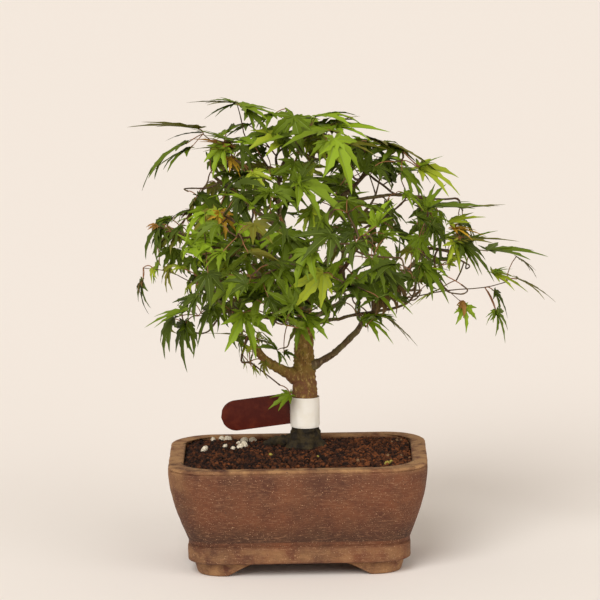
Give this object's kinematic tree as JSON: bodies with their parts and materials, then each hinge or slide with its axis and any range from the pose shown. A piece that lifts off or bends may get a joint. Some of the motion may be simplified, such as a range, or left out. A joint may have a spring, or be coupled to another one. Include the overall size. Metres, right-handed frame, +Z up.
{
  "type": "japanese maple bonsai",
  "caption": "Small leafy maple tree with a flared trunk and an airy broad crown, standing in a soil-filled rounded rectangular clay pot on cloud-cut feet.",
  "frame": {"origin": "on the surface that the pot stands on, below the middle of the whole plant; the pot's own middle lies 33 mm towards -X of it", "axes": "+Z up, +X to the right as seen from the front, +Y towards the back"},
  "size_m": [0.3327, 0.2691, 0.3681],
  "materials": {
    "stoneware_clay": "unglazed, matt, with a worn tan rim and fine pale specks",
    "soil_granules": "loose dark red-brown granules with a few pale pumice grains",
    "maple_bark": "rough mottled grey-brown bark",
    "young_maple_bark": "smooth olive-brown young bark",
    "maple_foliage": "green leaves with a slight sheen, a few turning yellow and brown",
    "white_paper": "plain white paper, blank",
    "brown_card": "plain dark brown card with a slight sheen, blank"
  },
  "bodies": {
    "root": {"pot": "stoneware_clay", "pot_foot_front_left": "stoneware_clay", "pot_foot_front_right": "stoneware_clay", "pot_foot_back_left": "stoneware_clay", "pot_foot_back_right": "stoneware_clay", "soil": "soil_granules", "trunk": "maple_bark", "bough_low_left": "maple_bark", "leader": "young_maple_bark", "bough_low_right": "young_maple_bark", "bough_mid_left": "young_maple_bark", "bough_mid_right": "young_maple_bark", "bough_top": "young_maple_bark", "bough_top_left": "young_maple_bark", "bough_upper_right": "young_maple_bark", "bough_upper_left": "young_maple_bark", "bough_right_back": "young_maple_bark", "bough_front_left": "young_maple_bark", "bough_front_right": "young_maple_bark", "bough_front_low": "young_maple_bark", "bough_back_left": "young_maple_bark", "bough_back_right": "young_maple_bark", "bough_back_low_left": "young_maple_bark", "bough_back_low_right": "young_maple_bark", "foliage_top": "maple_foliage", "foliage_top_left": "maple_foliage", "foliage_top_right": "maple_foliage", "foliage_upper_right": "maple_foliage", "foliage_right": "maple_foliage", "foliage_right_back": "maple_foliage", "foliage_right_low": "maple_foliage", "foliage_left": "maple_foliage", "foliage_left_low": "maple_foliage", "foliage_low_left_shoots": "maple_foliage", "foliage_front_left": "maple_foliage", "foliage_front_right": "maple_foliage", "foliage_front_low": "maple_foliage", "foliage_back_left": "maple_foliage", "foliage_back_right": "maple_foliage", "foliage_back_low_left": "maple_foliage", "foliage_back_low_right": "maple_foliage", "label_band": "white_paper", "label_tongue": "brown_card"}
  },
  "joints": []
}
